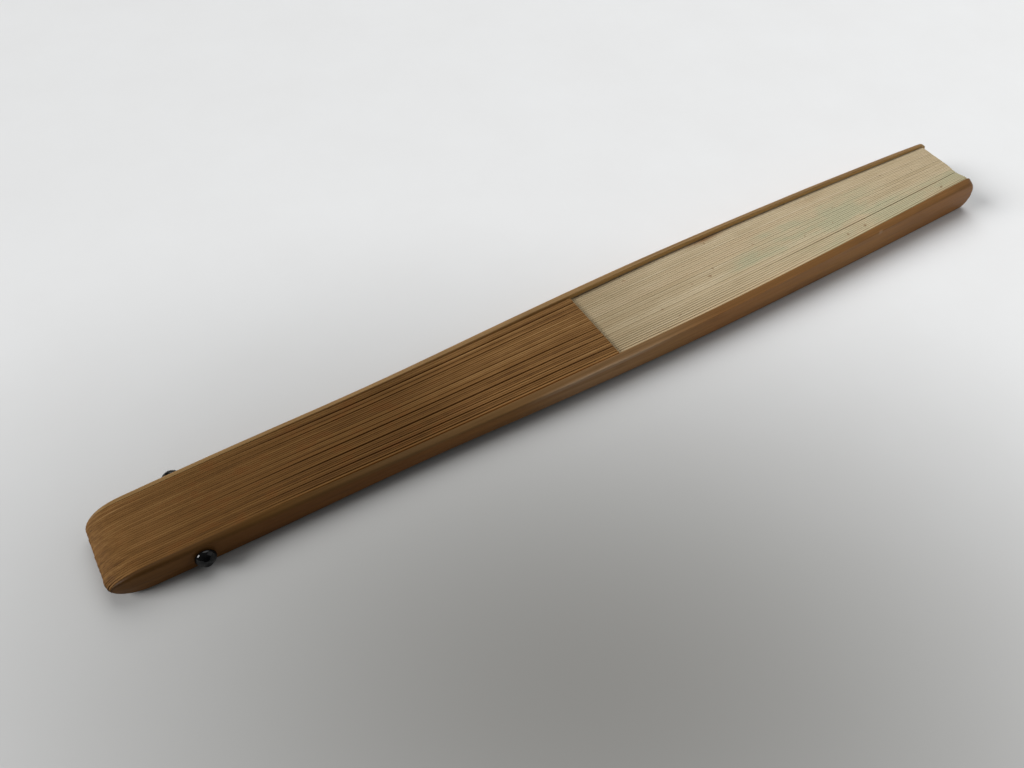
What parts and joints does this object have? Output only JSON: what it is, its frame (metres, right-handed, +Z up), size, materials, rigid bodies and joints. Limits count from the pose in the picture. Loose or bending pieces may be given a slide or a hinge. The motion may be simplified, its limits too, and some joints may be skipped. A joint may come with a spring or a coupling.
{
  "type": "folding fan",
  "caption": "Closed folding fan with bamboo guards and ribs on one pivot pin and a pleated paper leaf; the far guard swings out and the ribs and leaf follow.",
  "frame": {"origin": "on the surface that the closed fan lies on, below the middle of its box", "axes": "+X along the fan from the pivot end to the tip, +Y across the stack of ribs from the near guard to the far guard and along the pivot, +Z up"},
  "size_m": [0.228, 0.024, 0.0095],
  "materials": {
    "bamboo_rib": "raw split bamboo",
    "bamboo_guard": "polished stained bamboo",
    "pivot": "glossy black",
    "paper_leaf": "aged uncoated paper"
  },
  "bodies": {
    "near_side": {"near_guard": "bamboo_guard", "pivot_pin": "pivot", "pivot_cap": "pivot", "leaf": "paper_leaf"},
    "far_guard": {"far_guard": "bamboo_guard"},
    "rib_01": {"rib_01": "bamboo_rib"},
    "rib_02": {"rib_02": "bamboo_rib"},
    "rib_03": {"rib_03": "bamboo_rib"},
    "rib_04": {"rib_04": "bamboo_rib"},
    "rib_05": {"rib_05": "bamboo_rib"},
    "rib_06": {"rib_06": "bamboo_rib"},
    "rib_07": {"rib_07": "bamboo_rib"},
    "rib_08": {"rib_08": "bamboo_rib"},
    "rib_09": {"rib_09": "bamboo_rib"},
    "rib_10": {"rib_10": "bamboo_rib"},
    "rib_11": {"rib_11": "bamboo_rib"},
    "rib_12": {"rib_12": "bamboo_rib"},
    "rib_13": {"rib_13": "bamboo_rib"},
    "rib_14": {"rib_14": "bamboo_rib"},
    "rib_15": {"rib_15": "bamboo_rib"},
    "rib_16": {"rib_16": "bamboo_rib"},
    "rib_17": {"rib_17": "bamboo_rib"},
    "rib_18": {"rib_18": "bamboo_rib"},
    "rib_19": {"rib_19": "bamboo_rib"},
    "rib_20": {"rib_20": "bamboo_rib"},
    "rib_21": {"rib_21": "bamboo_rib"},
    "rib_22": {"rib_22": "bamboo_rib"},
    "rib_23": {"rib_23": "bamboo_rib"},
    "rib_24": {"rib_24": "bamboo_rib"},
    "rib_25": {"rib_25": "bamboo_rib"},
    "rib_26": {"rib_26": "bamboo_rib"},
    "rib_27": {"rib_27": "bamboo_rib"},
    "rib_28": {"rib_28": "bamboo_rib"},
    "rib_29": {"rib_29": "bamboo_rib"},
    "rib_30": {"rib_30": "bamboo_rib"},
    "rib_31": {"rib_31": "bamboo_rib"},
    "rib_32": {"rib_32": "bamboo_rib"},
    "rib_33": {"rib_33": "bamboo_rib"},
    "rib_34": {"rib_34": "bamboo_rib"},
    "rib_35": {"rib_35": "bamboo_rib"}
  },
  "joints": [
    {"name": "far_guard_swing", "type": "hinge", "parent": "near_side", "child": "far_guard", "pos_m": [-0.09701, 0, 0.00305], "axis": [0, -1, 0], "range_deg": [0, 150], "deforming": ["leaf"]},
    {"name": "rib_01_swing", "type": "hinge", "parent": "near_side", "child": "rib_01", "pos_m": [-0.09701, 0, 0.00305], "axis": [0, -1, 0], "range_deg": [0, 4.22]},
    {"name": "rib_02_swing", "type": "hinge", "parent": "near_side", "child": "rib_02", "pos_m": [-0.09701, 0, 0.00305], "axis": [0, -1, 0], "range_deg": [0, 8.38]},
    {"name": "rib_03_swing", "type": "hinge", "parent": "near_side", "child": "rib_03", "pos_m": [-0.09701, 0, 0.00305], "axis": [0, -1, 0], "range_deg": [0, 12.55]},
    {"name": "rib_04_swing", "type": "hinge", "parent": "near_side", "child": "rib_04", "pos_m": [-0.09701, 0, 0.00305], "axis": [0, -1, 0], "range_deg": [0, 16.72]},
    {"name": "rib_05_swing", "type": "hinge", "parent": "near_side", "child": "rib_05", "pos_m": [-0.09701, 0, 0.00305], "axis": [0, -1, 0], "range_deg": [0, 20.88]},
    {"name": "rib_06_swing", "type": "hinge", "parent": "near_side", "child": "rib_06", "pos_m": [-0.09701, 0, 0.00305], "axis": [0, -1, 0], "range_deg": [0, 25.05]},
    {"name": "rib_07_swing", "type": "hinge", "parent": "near_side", "child": "rib_07", "pos_m": [-0.09701, 0, 0.00305], "axis": [0, -1, 0], "range_deg": [0, 29.22]},
    {"name": "rib_08_swing", "type": "hinge", "parent": "near_side", "child": "rib_08", "pos_m": [-0.09701, 0, 0.00305], "axis": [0, -1, 0], "range_deg": [0, 33.38]},
    {"name": "rib_09_swing", "type": "hinge", "parent": "near_side", "child": "rib_09", "pos_m": [-0.09701, 0, 0.00305], "axis": [0, -1, 0], "range_deg": [0, 37.55]},
    {"name": "rib_10_swing", "type": "hinge", "parent": "near_side", "child": "rib_10", "pos_m": [-0.09701, 0, 0.00305], "axis": [0, -1, 0], "range_deg": [0, 41.72]},
    {"name": "rib_11_swing", "type": "hinge", "parent": "near_side", "child": "rib_11", "pos_m": [-0.09701, 0, 0.00305], "axis": [0, -1, 0], "range_deg": [0, 45.88]},
    {"name": "rib_12_swing", "type": "hinge", "parent": "near_side", "child": "rib_12", "pos_m": [-0.09701, 0, 0.00305], "axis": [0, -1, 0], "range_deg": [0, 50.05]},
    {"name": "rib_13_swing", "type": "hinge", "parent": "near_side", "child": "rib_13", "pos_m": [-0.09701, 0, 0.00305], "axis": [0, -1, 0], "range_deg": [0, 54.22]},
    {"name": "rib_14_swing", "type": "hinge", "parent": "near_side", "child": "rib_14", "pos_m": [-0.09701, 0, 0.00305], "axis": [0, -1, 0], "range_deg": [0, 58.38]},
    {"name": "rib_15_swing", "type": "hinge", "parent": "near_side", "child": "rib_15", "pos_m": [-0.09701, 0, 0.00305], "axis": [0, -1, 0], "range_deg": [0, 62.55]},
    {"name": "rib_16_swing", "type": "hinge", "parent": "near_side", "child": "rib_16", "pos_m": [-0.09701, 0, 0.00305], "axis": [0, -1, 0], "range_deg": [0, 66.72]},
    {"name": "rib_17_swing", "type": "hinge", "parent": "near_side", "child": "rib_17", "pos_m": [-0.09701, 0, 0.00305], "axis": [0, -1, 0], "range_deg": [0, 70.88]},
    {"name": "rib_18_swing", "type": "hinge", "parent": "near_side", "child": "rib_18", "pos_m": [-0.09701, 0, 0.00305], "axis": [0, -1, 0], "range_deg": [0, 75.05]},
    {"name": "rib_19_swing", "type": "hinge", "parent": "near_side", "child": "rib_19", "pos_m": [-0.09701, 0, 0.00305], "axis": [0, -1, 0], "range_deg": [0, 79.22]},
    {"name": "rib_20_swing", "type": "hinge", "parent": "near_side", "child": "rib_20", "pos_m": [-0.09701, 0, 0.00305], "axis": [0, -1, 0], "range_deg": [0, 83.38]},
    {"name": "rib_21_swing", "type": "hinge", "parent": "near_side", "child": "rib_21", "pos_m": [-0.09701, 0, 0.00305], "axis": [0, -1, 0], "range_deg": [0, 87.55]},
    {"name": "rib_22_swing", "type": "hinge", "parent": "near_side", "child": "rib_22", "pos_m": [-0.09701, 0, 0.00305], "axis": [0, -1, 0], "range_deg": [0, 91.72]},
    {"name": "rib_23_swing", "type": "hinge", "parent": "near_side", "child": "rib_23", "pos_m": [-0.09701, 0, 0.00305], "axis": [0, -1, 0], "range_deg": [0, 95.88]},
    {"name": "rib_24_swing", "type": "hinge", "parent": "near_side", "child": "rib_24", "pos_m": [-0.09701, 0, 0.00305], "axis": [0, -1, 0], "range_deg": [0, 100.05]},
    {"name": "rib_25_swing", "type": "hinge", "parent": "near_side", "child": "rib_25", "pos_m": [-0.09701, 0, 0.00305], "axis": [0, -1, 0], "range_deg": [0, 104.22]},
    {"name": "rib_26_swing", "type": "hinge", "parent": "near_side", "child": "rib_26", "pos_m": [-0.09701, 0, 0.00305], "axis": [0, -1, 0], "range_deg": [0, 108.38]},
    {"name": "rib_27_swing", "type": "hinge", "parent": "near_side", "child": "rib_27", "pos_m": [-0.09701, 0, 0.00305], "axis": [0, -1, 0], "range_deg": [0, 112.55]},
    {"name": "rib_28_swing", "type": "hinge", "parent": "near_side", "child": "rib_28", "pos_m": [-0.09701, 0, 0.00305], "axis": [0, -1, 0], "range_deg": [0, 116.72]},
    {"name": "rib_29_swing", "type": "hinge", "parent": "near_side", "child": "rib_29", "pos_m": [-0.09701, 0, 0.00305], "axis": [0, -1, 0], "range_deg": [0, 120.88]},
    {"name": "rib_30_swing", "type": "hinge", "parent": "near_side", "child": "rib_30", "pos_m": [-0.09701, 0, 0.00305], "axis": [0, -1, 0], "range_deg": [0, 125.05]},
    {"name": "rib_31_swing", "type": "hinge", "parent": "near_side", "child": "rib_31", "pos_m": [-0.09701, 0, 0.00305], "axis": [0, -1, 0], "range_deg": [0, 129.22]},
    {"name": "rib_32_swing", "type": "hinge", "parent": "near_side", "child": "rib_32", "pos_m": [-0.09701, 0, 0.00305], "axis": [0, -1, 0], "range_deg": [0, 133.38]},
    {"name": "rib_33_swing", "type": "hinge", "parent": "near_side", "child": "rib_33", "pos_m": [-0.09701, 0, 0.00305], "axis": [0, -1, 0], "range_deg": [0, 137.55]},
    {"name": "rib_34_swing", "type": "hinge", "parent": "near_side", "child": "rib_34", "pos_m": [-0.09701, 0, 0.00305], "axis": [0, -1, 0], "range_deg": [0, 141.72]},
    {"name": "rib_35_swing", "type": "hinge", "parent": "near_side", "child": "rib_35", "pos_m": [-0.09701, 0, 0.00305], "axis": [0, -1, 0], "range_deg": [0, 145.88]}
  ],
  "couplings": [
    {"joint": "rib_01_swing", "follows": "far_guard_swing", "ratio": 0.027778},
    {"joint": "rib_02_swing", "follows": "far_guard_swing", "ratio": 0.055556},
    {"joint": "rib_03_swing", "follows": "far_guard_swing", "ratio": 0.083333},
    {"joint": "rib_04_swing", "follows": "far_guard_swing", "ratio": 0.11111},
    {"joint": "rib_05_swing", "follows": "far_guard_swing", "ratio": 0.13889},
    {"joint": "rib_06_swing", "follows": "far_guard_swing", "ratio": 0.16667},
    {"joint": "rib_07_swing", "follows": "far_guard_swing", "ratio": 0.19444},
    {"joint": "rib_08_swing", "follows": "far_guard_swing", "ratio": 0.22222},
    {"joint": "rib_09_swing", "follows": "far_guard_swing", "ratio": 0.25},
    {"joint": "rib_10_swing", "follows": "far_guard_swing", "ratio": 0.27778},
    {"joint": "rib_11_swing", "follows": "far_guard_swing", "ratio": 0.30556},
    {"joint": "rib_12_swing", "follows": "far_guard_swing", "ratio": 0.33333},
    {"joint": "rib_13_swing", "follows": "far_guard_swing", "ratio": 0.36111},
    {"joint": "rib_14_swing", "follows": "far_guard_swing", "ratio": 0.38889},
    {"joint": "rib_15_swing", "follows": "far_guard_swing", "ratio": 0.41667},
    {"joint": "rib_16_swing", "follows": "far_guard_swing", "ratio": 0.44444},
    {"joint": "rib_17_swing", "follows": "far_guard_swing", "ratio": 0.47222},
    {"joint": "rib_18_swing", "follows": "far_guard_swing", "ratio": 0.5},
    {"joint": "rib_19_swing", "follows": "far_guard_swing", "ratio": 0.52778},
    {"joint": "rib_20_swing", "follows": "far_guard_swing", "ratio": 0.55556},
    {"joint": "rib_21_swing", "follows": "far_guard_swing", "ratio": 0.58333},
    {"joint": "rib_22_swing", "follows": "far_guard_swing", "ratio": 0.61111},
    {"joint": "rib_23_swing", "follows": "far_guard_swing", "ratio": 0.63889},
    {"joint": "rib_24_swing", "follows": "far_guard_swing", "ratio": 0.66667},
    {"joint": "rib_25_swing", "follows": "far_guard_swing", "ratio": 0.69444},
    {"joint": "rib_26_swing", "follows": "far_guard_swing", "ratio": 0.72222},
    {"joint": "rib_27_swing", "follows": "far_guard_swing", "ratio": 0.75},
    {"joint": "rib_28_swing", "follows": "far_guard_swing", "ratio": 0.77778},
    {"joint": "rib_29_swing", "follows": "far_guard_swing", "ratio": 0.80556},
    {"joint": "rib_30_swing", "follows": "far_guard_swing", "ratio": 0.83333},
    {"joint": "rib_31_swing", "follows": "far_guard_swing", "ratio": 0.86111},
    {"joint": "rib_32_swing", "follows": "far_guard_swing", "ratio": 0.88889},
    {"joint": "rib_33_swing", "follows": "far_guard_swing", "ratio": 0.91667},
    {"joint": "rib_34_swing", "follows": "far_guard_swing", "ratio": 0.94444},
    {"joint": "rib_35_swing", "follows": "far_guard_swing", "ratio": 0.97222}
  ]
}
